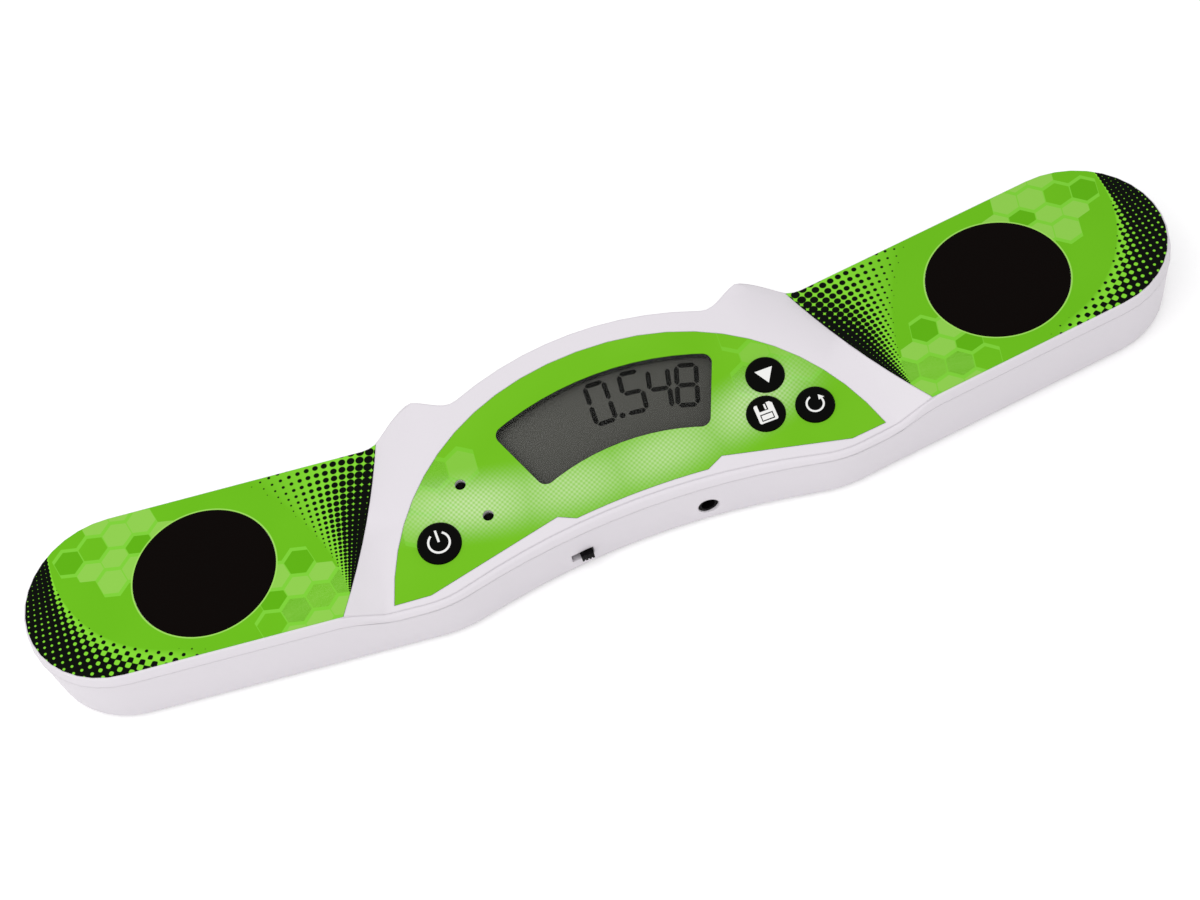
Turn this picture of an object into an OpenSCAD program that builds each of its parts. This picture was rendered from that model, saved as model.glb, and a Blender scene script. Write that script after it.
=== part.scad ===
// Speed cube timer: a low housing with a touch pad on each arm and, between the arms,
// a raised panel tilted towards the user. Millimetres, +X right, +Y away from the user, +Z up.
// Panel sizes are taken in the panel's own plane: u to the right, v up the slope, w out of it.

/* [Arms] */
// Distance between the centres of the two touch pads
pad_spacing = 210; // [204:1:222]
// Angle by which each arm sweeps away from the user
arm_yaw = 6.8; // [5.5:0.1:8]
// Width of an arm across its widest line
arm_width = 47.8; // [46:0.2:50]
// How far an arm's middle line runs behind its pad's centre
arm_behind = 0.3; // [0:0.1:0.5]
// Distance from a pad to the centre of the arm's round tip
tip_reach = 22.4; // [18:0.4:28]
// Height of the arms' top face above the table
arm_top = 22; // [21.6:0.2:24]
// Diameter of a touch pad
pad_d = 36; // [30:1:38]
// Thickness of a touch pad
pad_t = 0.5; // [0.4:0.1:0.8]

/* [Centre outline] */
// Front edge of the centre at the middle, measured forward of the line of pads
front_y = 23; // [22.6:0.2:24]
// Radius of the arched front edge
front_arch_r = 185; // [170:5:200]
// Back edge of the hump at the middle, behind the line of pads
hump_y = 26.7; // [26.4:0.1:28]
// Radius of the hump's arc
hump_r = 89; // [85:1:95]
// Sideways place of a shoulder's peak
shoulder_x = 45; // [44:0.5:46]
// Place of a shoulder's peak behind the line of pads
shoulder_y = 24.2; // [23.6:0.2:25]
// Place where an arm's inner edge crosses the line of pads
inner_edge_x = 62.3; // [62:0.1:64]
// Lean of an arm's inner edge, away from straight back
inner_edge_lean = 23.6; // [22:0.2:25]
// Bow of an arm's inner edge towards the middle
inner_edge_bow = 1.3; // [1:0.1:1.5]

/* [Shell] */
// Tilt of the panel towards the user
panel_tilt = 11.3; // [10:0.1:12]
// Height of the panel over the arms on the line of pads
panel_rise = 0.5; // [0.3:0.1:1.2]
// Slope of the side bands that join the panel to the arms
band_slope = 30; // [26:1:34]
// Height of the parting line on the arms, above the table
arm_parting = 18.4; // [18:0.1:18.8]
// Height of the parting line round the centre, above the table
centre_parting = 15; // [14.6:0.1:15.2]
// Wall thickness of the covers
wall = 2.2; // [2:0.1:2.4]
// Inward lean of the top cover's wall, from parting line to rim
top_draft = 0.45; // [0.3:0.05:0.6]
// Inward lean of the bottom cover's wall round the arms, from parting line to foot
base_draft = 1.1; // [0.8:0.1:1.4]
// Inward lean of the bottom cover's wall round the centre
centre_draft = 0.3; // [0.2:0.1:0.6]
// Rounding of the rim round the panel
panel_rim = 1.1; // [0.8:0.1:1.2]
// Rounding of the rim round the arms
arm_rim = 0.45; // [0.3:0.05:0.6]
// Rounding of the bottom edge
base_round = 1.2; // [0.8:0.1:1.5]
// Height of the lip on the bottom cover that locates the top cover
lip_h = 0.9; // [0.6:0.1:1]
// Gap between the lip and the top cover
lip_gap = 0.15; // [0.1:0.05:0.25]

/* [Labels and window] */
// Thickness of the printed labels
label_t = 0.3; // [0.2:0.05:0.4]
// Gap round each label and each piece set in it
label_gap = 0.1; // [0.05:0.05:0.15]
// Half the width of the centre label along its front corners
label_half = 63.8; // [62.5:0.1:64.4]
// Outer radius of the arc-shaped window
window_r = 77; // [75:0.5:79]
// Height of the window, across its band
window_h = 19.8; // [18:0.2:20.4]
// Half the angle that the window spans
window_angle = 22.3; // [20:0.1:22.6]
// Sideways place of the window's middle
window_u = 2; // [1.5:0.1:2.2]
// Top of the window, up the slope from the line of pads
window_v = 13.4; // [12.8:0.1:13.6]
// Thickness of the window behind the cover
lens_flange_t = 0.8; // [0.6:0.1:0.9]
// Thickness of the liquid crystal cell
lcd_t = 1.8; // [1.6:0.1:1.9]

/* [Buttons] */
// Diameter of the power button
power_d = 10.8; // [10:0.1:11.2]
// Diameter of the other three buttons
key_d = 9.6; // [9:0.1:9.8]
// Height of a button above the label
key_h = 0.8; // [0.6:0.1:1.2]
// Travel of a button
key_travel = 0.8; // [0.6:0.1:0.9]
// Gap round a button
key_gap = 0.15; // [0.1:0.05:0.2]
// Diameter of the two indicator holes
led_hole_d = 2.8; // [2.6:0.1:3]

/* [Boards] */
// Thickness of the main board
board_t = 1.2; // [1:0.1:1.3]
// Depth of the main board's upper face under the panel
board_depth = 6; // [5.9:0.1:6.1]
// Thickness of the small connector board
io_board_t = 1; // [0.8:0.1:1.2]
// Height of the connector board's underside above the table
io_board_z = 3.4; // [3.2:0.1:3.6]
// Sideways place of the data jack
jack_x = 16.9; // [14:0.1:18]
// Bore of the data jack
jack_bore = 3.6; // [3.5:0.1:3.8]
// Diameter of the data jack's nose
jack_nose_d = 5.1; // [5:0.1:5.3]
// Sideways place of the slide switch's slot
slot_x = -16.5; // [-18:0.1:-15]
// Width of the slide switch's slot
slot_w = 5.8; // [5.4:0.1:6.2]
// Height of the slide switch's slot
slot_h = 2.8; // [2.6:0.1:3]
// Width of the slide switch's lever
lever_w = 3.2; // [3:0.1:3.4]
// How far the lever stands out of the wall
lever_out = 1.5; // [1:0.1:2]

/* [Batteries and base] */
// Diameter of a cell
cell_d = 10.5; // [10.1:0.1:10.5]
// Length of a cell's can
cell_len = 44; // [43:0.1:44.2]
// Room for a contact at each end of a cell
contact_room = 3.8; // [3.6:0.1:4]
// Gap round the cells
cell_gap = 0.25; // [0.2:0.05:0.3]
// Place of the battery bay's front wall behind the line of pads
bay_y = -4.2; // [-4.4:0.1:-4]
// Thickness of the bay's walls
bay_wall = 1.3; // [1.1:0.1:1.4]
// Thickness of the battery door
door_t = 1.3; // [1.2:0.05:1.4]
// Gap round the battery door
door_gap = 0.2; // [0.15:0.05:0.3]
// Angle by which the battery door opens
door_open = 70; // [50:5:85]
// Height of the housing's underside above the table
foot_stand = 1; // [0.8:0.1:1.3]
// Diameter of a rubber foot
foot_d = 10; // [8:0.5:10.5]
// Depth of the pocket that holds a foot
foot_pocket = 0.6; // [0.4:0.1:0.8]
// Diameter of a case screw's head
screw_head_d = 4.4; // [4:0.1:4.8]
// Diameter of a case screw's thread
screw_d = 2.3; // [2.2:0.1:2.5]

/* [Hidden] */
$fn = 48;

housing_white = "#e4e0e6";
label_green = "#6aba1e";
key_black = "#101210";

// Curves
function unit(v) = v / norm(v);
function smooth(t) = let (s = min(max(t, 0), 1)) s * s * (3 - 2 * s);
function bezier2(a, b, c, t) = a * pow(1 - t, 2) + b * 2 * t * (1 - t) + c * t * t;
function bezier3(a, b, c, d, t) = a * pow(1 - t, 3) + b * 3 * t * pow(1 - t, 2)
                                + c * 3 * t * t * (1 - t) + d * pow(t, 3);
function flip(list) = [for (i = [len(list) - 1 : -1 : 0]) list[i]];
function mirrored(list) = [for (p = list) [-p[0], p[1]]];

// Right arm in plan, at the parting line
arm_dir = [cos(arm_yaw), sin(arm_yaw)];
arm_side = [-sin(arm_yaw), cos(arm_yaw)];
arm_half = arm_width / 2;
pad_at = [pad_spacing / 2, 0];
mid_at = pad_at + arm_behind * arm_side;
tip_at = mid_at + tip_reach * arm_dir;
function arm_edge(x, side) = let (p = mid_at + side * arm_half * arm_side)
  p + (x - p[0]) / arm_dir[0] * arm_dir;

// Front arch, and the corner where it meets the arm
arch_centre = [0, -front_y - front_arch_r];
function arch(x) = [x, arch_centre[1] + sqrt(pow(front_arch_r, 2) - x * x)];
corner_from = arm_edge(0, -1) - arch_centre;
corner_along = corner_from * arm_dir;
corner_x = (sqrt(pow(corner_along, 2) - corner_from * corner_from + pow(front_arch_r, 2))
          - corner_along) * arm_dir[0];
corner_blend = 6;

// Back: a shoulder between the arm and the hump, as two flanks
function hump(x) = [x, hump_y - hump_r + sqrt(hump_r * hump_r - x * x)];
peak = [shoulder_x, shoulder_y];
foot_x = shoulder_x + 14;
notch_x = shoulder_x - 12;
foot = arm_edge(foot_x, 1);
notch = hump(notch_x);
notch_slope = unit([sqrt(hump_r * hump_r - notch_x * notch_x), -notch_x]);
function outer_flank(t) = bezier3(foot, foot - 4.5 * arm_dir, peak + [5.5, 0], peak, t);
function inner_flank(t) = bezier3(peak, peak - [4.5, 0], notch + 4 * notch_slope, notch, t);

// The parting line drops from the arms to the centre between these places
drop_to = inner_edge_x + inner_edge_bow;
drop_from = drop_to + 14;
drop_steps = [0, 0.25, 0.75, 1];
drop_xs = [for (t = drop_steps) drop_from + (drop_to - drop_from) * t];
function parting(x) = arm_parting
  - (arm_parting - centre_parting) * smooth((drop_from - abs(x)) / (drop_from - drop_to));

// Whole outline, counter-clockwise from the middle of the front
right_half = concat(
  [for (i = [0:5]) arch((corner_x - corner_blend) * i / 6)],
  [for (i = [0:4]) bezier2(arch(corner_x - corner_blend), arm_edge(corner_x, -1),
                           arm_edge(corner_x + corner_blend, -1), i / 4)],
  [for (x = flip(drop_xs)) arm_edge(x, -1)],
  [for (i = [0:18]) tip_at + arm_half * [sin(arm_yaw + 10 * i) , -cos(arm_yaw + 10 * i)]],
  [for (x = drop_xs) arm_edge(x, 1)],
  [for (i = [0:7]) outer_flank(i / 8)],
  [for (i = [0:7]) inner_flank(i / 8)],
  [for (i = [0:4]) hump(notch_x * (1 - i / 5))],
  [hump(0)]);
left_half = mirrored(flip([for (i = [1 : len(right_half) - 2]) right_half[i]]));
outline = concat(right_half, left_half);
count = len(outline);
normals = [for (i = [0 : count - 1])
  let (t = unit(outline[(i + 1) % count] - outline[(i + count - 1) % count])) [t[1], -t[0]]];
function inset(depth) = [for (i = [0 : count - 1]) outline[i] - depth * normals[i]];

// The origin is moved to the middle of the outline's depth
outline_ys = [for (p = outline) p[1]];
centre_y = -(max(outline_ys) + min(outline_ys)) / 2;

// Top faces: flat arms, tilted panel, and bands that slope between them
low = -10;
high = 45;
far = 200;
panel_z = arm_top + panel_rise;
cover_top = arm_top - label_t;
inner_edge_r = arm_width * arm_width / (8 * inner_edge_bow);
inner_edge_at = [inner_edge_x, 0] + inner_edge_r * [cos(inner_edge_lean), sin(inner_edge_lean)];
function beyond_edge(p) = inner_edge_r - norm([abs(p[0]), p[1]] - inner_edge_at);
function panel_height(y) = panel_z + tan(panel_tilt) * y;
function rim_height(p) = let (d = beyond_edge(p), rise = -tan(band_slope) * d)
  d > 0 ? cover_top : min(max(panel_height(p[1]), arm_top - rise), arm_top + rise);
function base_lean(p) = base_draft - (base_draft - centre_draft) * smooth((60 - abs(p[0])) / 20);
function rim_round(p) = arm_rim + (panel_rim - arm_rim) * smooth(-beyond_edge(p) / 8);
function panel_point(u, v, w) = [u, v * cos(panel_tilt) - w * sin(panel_tilt),
                                 panel_z + v * sin(panel_tilt) + w * cos(panel_tilt)];

// A short upright land lies on each side of the parting line, and above the rim
land = 0.05;
rim_depth = top_draft + panel_rim;
bottom_in = wall + base_draft;
top_in = wall + top_draft;
floor_z = foot_stand + 2;

// Panel pieces: depths below the panel, and sizes that others follow
cover_t = wall;
lens_top = -0.05;
lens_back = -cover_t - lens_flange_t;
lcd_top = lens_back - 0.1;
lcd_back = lcd_top - lcd_t;
board_top = -board_depth;
board_back = board_top - board_t;
window_centre = [window_u, window_v - window_r];
lcd_half = window_r * sin(window_angle) + 0.1;
lcd_v = [window_centre[1] + (window_r - window_h) * cos(window_angle) - 0.8, window_v + 0.6];
frame_wall = 0.9;
window_right = window_u + window_r * sin(window_angle);
window_left = 2 * window_u - window_right;
power_at = [window_left - 21.4, -14.9];
recall_at = [window_right + 10.1, -2.9];
save_at = [window_right + 6.4, -12.8];
reset_at = [window_right + 18.5, -15.1];
led_at = [[window_left - 11.7, -2.1], [window_left - 7.9, -12.4]];
keys = [[power_at, power_d], [recall_at, key_d], [save_at, key_d], [reset_at, key_d]];
switch_size = 6;
switch_top = board_top + 1.7;
plunger_d = 3;
plunger_gap = 0.05;
plunger_top = switch_top + key_travel + 0.1;
stem_d = 3.2;
cap_back = -2.6;
ear_reach = 1;
ear_t = 0.8;
post_at = [[window_left - 6.8, 10], [window_right + 6.8, 8], [-30, lcd_v[0] - 5.3], [27, lcd_v[0] - 5]];
board_half = reset_at[0] + 6.3;
board_back_half = window_right + 4.8;
board_front = -front_y + 4;
board_corner_v = -6;
post_d = 4.4;
board_screw_d = 1.6;

// Base pieces
boss_z = 9;
screw_at = [[tip_at[0] + 8, tip_at[1] + 1], [60, -20], [46, 15.5]];
boss_d = 6.4;
top_boss_d = 5.4;
head_z = 5.4;
foot_at = [[124, 13], [121, -12], [38, -16.5]];
bay_half_x = cell_len / 2 + contact_room;
bay_depth = 2 * cell_d + 3 * cell_gap;
door_top = foot_stand + door_t;
cell_z = door_top + cell_gap + cell_d / 2;
cell_ys = [bay_y + cell_gap + cell_d / 2, bay_y + bay_depth - cell_gap - cell_d / 2];
roof_z = cell_z + cell_d / 2 + 0.15;
roof_t = 0.8;
nub_h = 1;
leaf_w = 6;
hinge_r = door_t;
hinge_at = [bay_y - 1.6, door_top];
door_half_x = bay_half_x + 1;
door_back = bay_y + bay_depth + 1;
jack_body = [7, 11, jack_nose_d + 0.1];
jack_z = io_board_z + io_board_t + jack_body[2] / 2;
switch_body = [8.6, 3.8, 3.8];
slot_z = io_board_z + io_board_t + switch_body[2] / 2;
wall_front = -front_y + bottom_in;
io_half = 26;
io_post_at = [for (x = [3 - io_half, io_half - 3], y = [-17, -10.9]) [x, y]];
io_pin_d = 1.6;
link_y = -12;

module placed() { translate([0, centre_y, 0]) children(); }
module both_sides() { children(); mirror([1, 0, 0]) children(); }
module on_panel(u = 0, v = 0, w = 0) {
  translate([0, 0, panel_z]) rotate([panel_tilt, 0, 0]) translate([u, v, w]) children();
}
module slab(points, from, to) { translate([0, 0, from]) linear_extrude(to - from) polygon(points); }
module box(from, to) { translate(from) cube(to - from); }
module tube(a, b, d) {
  span = b - a;
  translate(a) rotate([0, acos(span[2] / norm(span)), atan2(span[1], span[0])])
    cylinder(h = norm(span), d = d);
}
module wire(points, d) {
  for (i = [0 : len(points) - 2]) tube(points[i], points[i + 1], d);
  for (i = [1 : len(points) - 2]) translate(points[i]) sphere(d = 1.1 * d);
}

// Skin over rings of points that run counter-clockwise, lowest ring first. The first and the
// last ring are level, and each is closed by triangles round a hub that sees all its points.
hub = [0, -6];
module loft(rings) {
  n = len(rings[0]);
  last = len(rings) - 1;
  polyhedron(
    points = concat([for (ring = rings) each ring],
                    [[hub[0], hub[1], rings[0][0][2]], [hub[0], hub[1], rings[last][0][2]]]),
    faces = concat(
      [for (i = [0 : n - 1]) [(last + 1) * n, i, (i + 1) % n]],
      [for (k = [0 : last - 1]) for (i = [0 : n - 1]) let (j = (i + 1) % n)
        each [[k * n + i, (k + 1) * n + i, (k + 1) * n + j], [k * n + i, (k + 1) * n + j, k * n + j]]],
      [for (i = [0 : n - 1]) [(last + 1) * n + 1, last * n + (i + 1) % n, last * n + i]]));
}

// Form that follows an arm's bowed inner edge; its profile is [distance outward, height]
module along_inner_edge(profile) {
  sweep = 24;
  translate([inner_edge_at[0], inner_edge_at[1], 0]) rotate([0, 0, 180 + inner_edge_lean - sweep])
    rotate_extrude(angle = 2 * sweep, $fn = 180) polygon([for (p = profile) [inner_edge_r - p[0], p[1]]]);
}

// Room under the top faces, lowered by a depth
module under_top(depth) {
  reach = 30;
  along = 150;
  fall = tan(band_slope);
  both_sides() along_inner_edge([
    [-reach, low], [-reach, arm_top - fall * reach - depth], [0, arm_top - depth],
    [0, cover_top - depth], [along, cover_top - depth], [along, low]]);
  intersection() {
    rotate([90, 0, 90]) linear_extrude(height = 2 * far, center = true) polygon([
      [-far / 2, low], [-far / 2, panel_height(-far / 2) - depth],
      [far / 2, panel_height(far / 2) - depth], [far / 2, low]]);
    along_inner_edge(band_side(depth));
    mirror([1, 0, 0]) along_inner_edge(band_side(depth));
  }
}
function band_side(depth) = [[-far, low], [-far, arm_top + tan(band_slope) * far - depth],
                             [0, arm_top - depth], [0, low]];

// Room below the parting line, raised by a height
module under_parting(rise) {
  xs = concat([far], drop_xs);
  profile = concat([for (x = xs) [x, parting(x) + rise]],
                   [for (x = flip(xs)) [-x, parting(x) + rise]], [[-far, low], [far, low]]);
  rotate([90, 0, 0]) linear_extrude(height = far, center = true) polygon(profile);
}

// Arc-shaped window outline in the panel's plane, grown by an amount
module window_shape(grow) {
  corner = 2.4;
  steps = 12;
  function rim_point(r, a) = window_centre + r * [sin(a), cos(a)];
  offset(r = corner + grow) offset(delta = -corner) polygon(concat(
    [for (i = [0 : steps]) rim_point(window_r, window_angle * (2 * i / steps - 1))],
    [for (i = [steps : -1 : 0]) rim_point(window_r - window_h, window_angle * (2 * i / steps - 1))]));
}

// Outline of the centre label in the panel's plane, shrunk by an amount
module label_shape(shrink) {
  front_v = -26;
  apex = [0, 21];
  end = [label_half, front_v];
  turn = [label_half - 9.1, front_v - 0.8];
  bow = 33;
  arc = [for (i = [0:12]) bezier3(end, [label_half - 7.8, 1.6], [bow, apex[1]], apex, i / 12)];
  notch_out = 21.45;
  notch_in = 17.15;
  notch_v = -19.1;
  front = concat(
    [for (i = [-4:4]) [window_u + notch_in * i / 4, notch_v - 1.3 - 0.8 * pow(i / 4, 2)]],
    [[window_u + notch_out, notch_v], turn]);
  offset(delta = -shrink) polygon(concat(
    front, arc, mirrored(flip([for (i = [0:11]) arc[i]])),
    [[-turn[0], turn[1]], [window_u - notch_out, -19.1]]));
}

module key_ears(at, d, grow) {
  for (side = [-1, 1]) translate([at[0], at[1] + side * (d / 2 + ear_reach) / 2, 0])
    square([3 + 2 * grow, d / 2 + ear_reach + 2 * grow], center = true);
}

// ---- Housing ----

module top_skin() {
  function ring(part, drop) = [for (i = [0 : count - 1]) let (p = outline[i], r = rim_round(p),
    in = top_draft + part * r, q = p - in * normals[i]) [q[0], q[1], rim_height(p) - drop * r]];
  straight = [for (p = ring(1, 0.03)) [p[0], p[1], high]];
  base = [for (p = outline) [p[0], p[1], low]];
  waist = [for (p = outline) [p[0], p[1], parting(p[0]) + land]];
  belly = [for (i = [0 : count - 1]) let (p = outline[i], q = p - 0.3 * top_draft * normals[i])
    [q[0], q[1], parting(p[0]) + 0.4 * (rim_height(p) - rim_round(p) - parting(p[0]))]];
  loft([base, waist, belly, ring(0, 1), ring(0.08, 0.6), ring(0.3, 0.29), ring(0.62, 0.08),
        ring(1, 0.03), straight]);
}

module top_cover() {
  color(housing_white) placed() {
    difference() {
      intersection() { top_skin(); under_top(0); }
      under_parting(0);
      intersection() { slab(inset(top_in), low, high); under_top(cover_t / cos(panel_tilt)); }
      on_panel(w = -label_t) linear_extrude(1) label_shape(-label_gap);
      on_panel(w = -2 * cover_t) linear_extrude(3 * cover_t) window_shape(label_gap);
      for (key = keys) on_panel(key[0][0], key[0][1], -2 * cover_t)
        cylinder(h = 3 * cover_t, d = key[1] + 2 * key_gap);
      for (at = led_at) on_panel(at[0], at[1], -2 * cover_t) cylinder(h = 3 * cover_t, d = led_hole_d);
    }
    top_bosses();
    board_posts();
    both_sides() electrode_rib();
  }
}

module top_bosses() {
  pilot = screw_d - 0.3;
  both_sides() for (at = screw_at) difference() {
    intersection() {
      translate([at[0], at[1], boss_z]) cylinder(h = high, d = top_boss_d);
      under_top(wall / 2);
    }
    translate([at[0], at[1], low]) cylinder(h = boss_z + 7 - low, d = pilot);
  }
}

module board_posts() {
  for (at = post_at) on_panel(at[0], at[1], board_top) difference() {
    cylinder(h = board_depth - cover_t + 0.4, d = post_d);
    translate([0, 0, -1]) cylinder(h = 4.6, d = board_screw_d);
  }
}

module electrode_rib() {
  translate([pad_at[0], pad_at[1], cover_top - wall - 1.6]) difference() {
    cylinder(h = 2, d = pad_d + 3);
    translate([0, 0, -1]) cylinder(h = 4, d = pad_d + 0.6);
  }
}

module bottom_skin() {
  function ring(in, up) = [for (i = [0 : count - 1])
    let (p = outline[i], q = p - (base_lean(p) + in * base_round) * normals[i])
    [q[0], q[1], foot_stand + up * base_round]];
  function under(lean, drop) = [for (i = [0 : count - 1])
    let (p = outline[i], q = p - lean * base_lean(p) * normals[i]) [q[0], q[1], parting(p[0]) - drop]];
  straight = [for (p = outline) [p[0], p[1], high]];
  loft([ring(1, 0), ring(0.55, 0.12), ring(0.2, 0.42), ring(0, 1),
        under(0.3, 4), under(0.06, 1.4), under(0, land), straight]);
}

module bottom_cover() {
  color(housing_white) placed() {
    difference() {
      union() {
        difference() {
          union() {
            intersection() { bottom_skin(); under_parting(0); }
            intersection() {
              slab(inset(top_in + lip_gap), centre_parting - 3, high);
              under_parting(lip_h);
              under_top(cover_t / cos(panel_tilt) + lip_gap);
            }
          }
          slab(inset(bottom_in), floor_z, high);
        }
        battery_bay();
        both_sides() for (at = screw_at)
          translate([at[0], at[1], floor_z - 1]) cylinder(h = boss_z - lip_gap - floor_z + 1, d = boss_d);
        io_posts();
        both_sides() arm_ribs();
      }
      both_sides() for (at = screw_at) translate([at[0], at[1], 0]) {
        cylinder(h = head_z, d = screw_head_d + 0.6);
        cylinder(h = high, d = screw_d + 0.4);
      }
      both_sides() for (at = foot_at) translate([at[0], at[1], 0])
        cylinder(h = foot_stand + foot_pocket, d = foot_d + 0.2);
      battery_room();
      front_holes();
    }
  }
}

module battery_bay() {
  box([-bay_half_x - bay_wall, bay_y - bay_wall, floor_z - 1],
      [bay_half_x + bay_wall, bay_y + bay_depth + bay_wall, roof_z + roof_t]);
  intersection() {
    translate([0, hinge_at[0], hinge_at[1]]) rotate([0, 90, 0])
      cylinder(h = 2 * (door_half_x + bay_wall), r = hinge_r + door_gap + 1, center = true);
    box([-far, -far, floor_z - 1], [far, far, high]);
  }
}

module battery_room() {
  box([-bay_half_x, bay_y, low], [bay_half_x, bay_y + bay_depth, roof_z]);
  barrel_room = hinge_r + door_gap;
  rotate([90, 0, 90]) linear_extrude(2 * (door_half_x + door_gap), center = true) translate(hinge_at) {
    circle(r = barrel_room);
    translate([0, -hinge_r - 5]) square([door_back + door_gap - hinge_at[0], hinge_r + 5]);
    rotate(-door_open) translate([0, -barrel_room]) square([3 * hinge_r, barrel_room]);
  }
}

module io_posts() {
  for (at = io_post_at) translate([at[0], at[1], floor_z - 1])
    cylinder(h = io_board_z - floor_z + 1, d = 4);
  for (at = io_post_at) translate([at[0], at[1], floor_z])
    cylinder(h = io_board_z - floor_z + io_board_t + 0.6, d = io_pin_d);
}

module front_holes() {
  translate([jack_x, wall_front + 1, jack_z]) rotate([90, 0, 0]) cylinder(h = far, d = jack_nose_d + 0.3);
  box([slot_x - slot_w / 2, -far, slot_z - slot_h / 2],
      [slot_x + slot_w / 2, wall_front + 1, slot_z + slot_h / 2]);
}

module arm_ribs() {
  rib_t = 1.2;
  rib_h = 3.6;
  for (side = [-1, 1]) translate([pad_at[0], pad_at[1], floor_z - 1]) rotate([0, 0, arm_yaw])
    translate([-24, side * 9 - rib_t / 2, 0]) cube([46, rib_t, rib_h + 1]);
}

// ---- Labels and pads ----

module arm_label() {
  color(label_green) placed() difference() {
    intersection() {
      slab(inset(top_draft + arm_rim + label_gap), cover_top, arm_top);
      along_inner_edge([[label_gap, low], [label_gap, high], [150, high], [150, low]]);
    }
    translate([pad_at[0], pad_at[1], 0]) cylinder(h = high, d = pad_d + 2 * label_gap);
  }
}
module left_arm_label() { mirror([1, 0, 0]) arm_label(); }
module right_arm_label() { arm_label(); }

module centre_label() {
  color(label_green) placed() difference() {
    on_panel(w = -label_t) linear_extrude(label_t) label_shape(0);
    on_panel(w = -1) linear_extrude(2) window_shape(label_gap);
    for (key = keys) on_panel(key[0][0], key[0][1], -1) cylinder(h = 2, d = key[1] + 2 * key_gap);
    for (at = led_at) on_panel(at[0], at[1], -1) cylinder(h = 2, d = led_hole_d);
  }
}

module touch_pad() {
  edge = 0.15;
  color("#0c0b0c") placed() translate([pad_at[0], pad_at[1], cover_top]) rotate_extrude($fn = 96)
    polygon([[0, 0], [pad_d / 2, 0], [pad_d / 2, pad_t - edge], [pad_d / 2 - edge, pad_t], [0, pad_t]]);
}
module left_touch_pad() { mirror([1, 0, 0]) touch_pad(); }
module right_touch_pad() { touch_pad(); }

electrode_t = 0.3;
electrode_z = cover_top - cover_t / cos(panel_tilt) - electrode_t;
module pad_electrode() {
  color("#c98a4b") placed() translate([pad_at[0], pad_at[1], electrode_z])
    cylinder(h = electrode_t, d = pad_d - 1, $fn = 96);
}
module left_pad_electrode() { mirror([1, 0, 0]) pad_electrode(); }
module right_pad_electrode() { pad_electrode(); }

wire_d = 1.2;
wire_drop = 3;
wire_pad_v = -8;
module sensor_wire() {
  start = [pad_at[0] - pad_d / 2 + 4, 0, electrode_z];
  end = panel_point(board_half - 4, wire_pad_v, board_top + 0.2);
  placed() wire([start, [start[0], start[1], electrode_z - wire_drop], [end[0], end[1], end[2] + 1.7], end],
                wire_d);
}
module left_sensor_wire() { color("#2a2a2c") mirror([1, 0, 0]) sensor_wire(); }
module right_sensor_wire() { color("#2a2a2c") sensor_wire(); }

// ---- Display ----

module display_window() {
  color("#8f9494") placed() {
    on_panel(w = -cover_t) linear_extrude(cover_t + lens_top) window_shape(0);
    on_panel(w = lens_back) linear_extrude(lens_flange_t) window_shape(0.9);
  }
}

module lcd_glass() {
  color("#4c4d48") placed() on_panel(w = lcd_back)
    box([window_u - lcd_half, lcd_v[0], 0], [window_u + lcd_half, lcd_v[1], lcd_t]);
}

module lcd_frame() {
  gap = 0.1;
  grow = gap + frame_wall;
  color("#d8d8d4") placed() on_panel(w = board_top) difference() {
    box([window_u - lcd_half - grow, lcd_v[0] - grow, 0],
        [window_u + lcd_half + grow, lcd_v[1] + grow, lens_back - board_top - 0.05]);
    box([window_u - lcd_half - gap, lcd_v[0] - gap, -1], [window_u + lcd_half + gap, lcd_v[1] + gap, 20]);
  }
}

module lcd_connectors() {
  strip = 2;
  color("#d46a7c") placed() on_panel(w = board_top) for (v = [lcd_v[0] + 0.4, lcd_v[1] - 0.4 - strip])
    box([window_u - lcd_half + 2, v, 0], [window_u + lcd_half - 2, v + strip, lcd_back - board_top]);
}

// ---- Main board ----

module main_board() {
  back_v = lcd_v[1] + 1.6;
  board_notch = 20;
  color("#1f6b3a") placed() on_panel(w = board_back) difference() {
    linear_extrude(board_t) polygon([
      [-board_half, board_front - 2], [-board_notch, board_front], [board_notch, board_front],
      [board_half, board_front - 2], [board_half, board_corner_v], [board_back_half, back_v],
      [-board_back_half, back_v], [-board_half, board_corner_v]]);
    for (at = post_at) translate([at[0], at[1], -1]) cylinder(h = 5, d = board_screw_d + 0.5);
  }
}

module controller_chip() {
  blob_r = 6;
  blob_h = 1.5;
  color("#141414") placed() on_panel(-41, -9, board_back) rotate([180, 0, 0]) rotate_extrude()
    polygon([[0, 0], [blob_r, 0], for (i = [1:6]) [blob_r * cos(15 * i), blob_h * sin(15 * i)]]);
}

module tact_switches() {
  color("#3a3d40") placed() for (key = keys) on_panel(key[0][0], key[0][1], board_top) difference() {
    translate([-switch_size / 2, -switch_size / 2, 0]) cube([switch_size, switch_size, switch_top - board_top]);
    translate([0, 0, 0.3]) cylinder(h = 5, d = plunger_d + 2 * plunger_gap);
  }
}

module plunger(at) {
  foot_gap = 0.1;
  foot = board_top + 0.3 + key_travel + foot_gap;
  color("#c8c4bc") placed() on_panel(at[0], at[1], foot) cylinder(h = plunger_top - foot, d = plunger_d);
}
module power_plunger() { plunger(power_at); }
module recall_plunger() { plunger(recall_at); }
module save_plunger() { plunger(save_at); }
module reset_plunger() { plunger(reset_at); }

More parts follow.
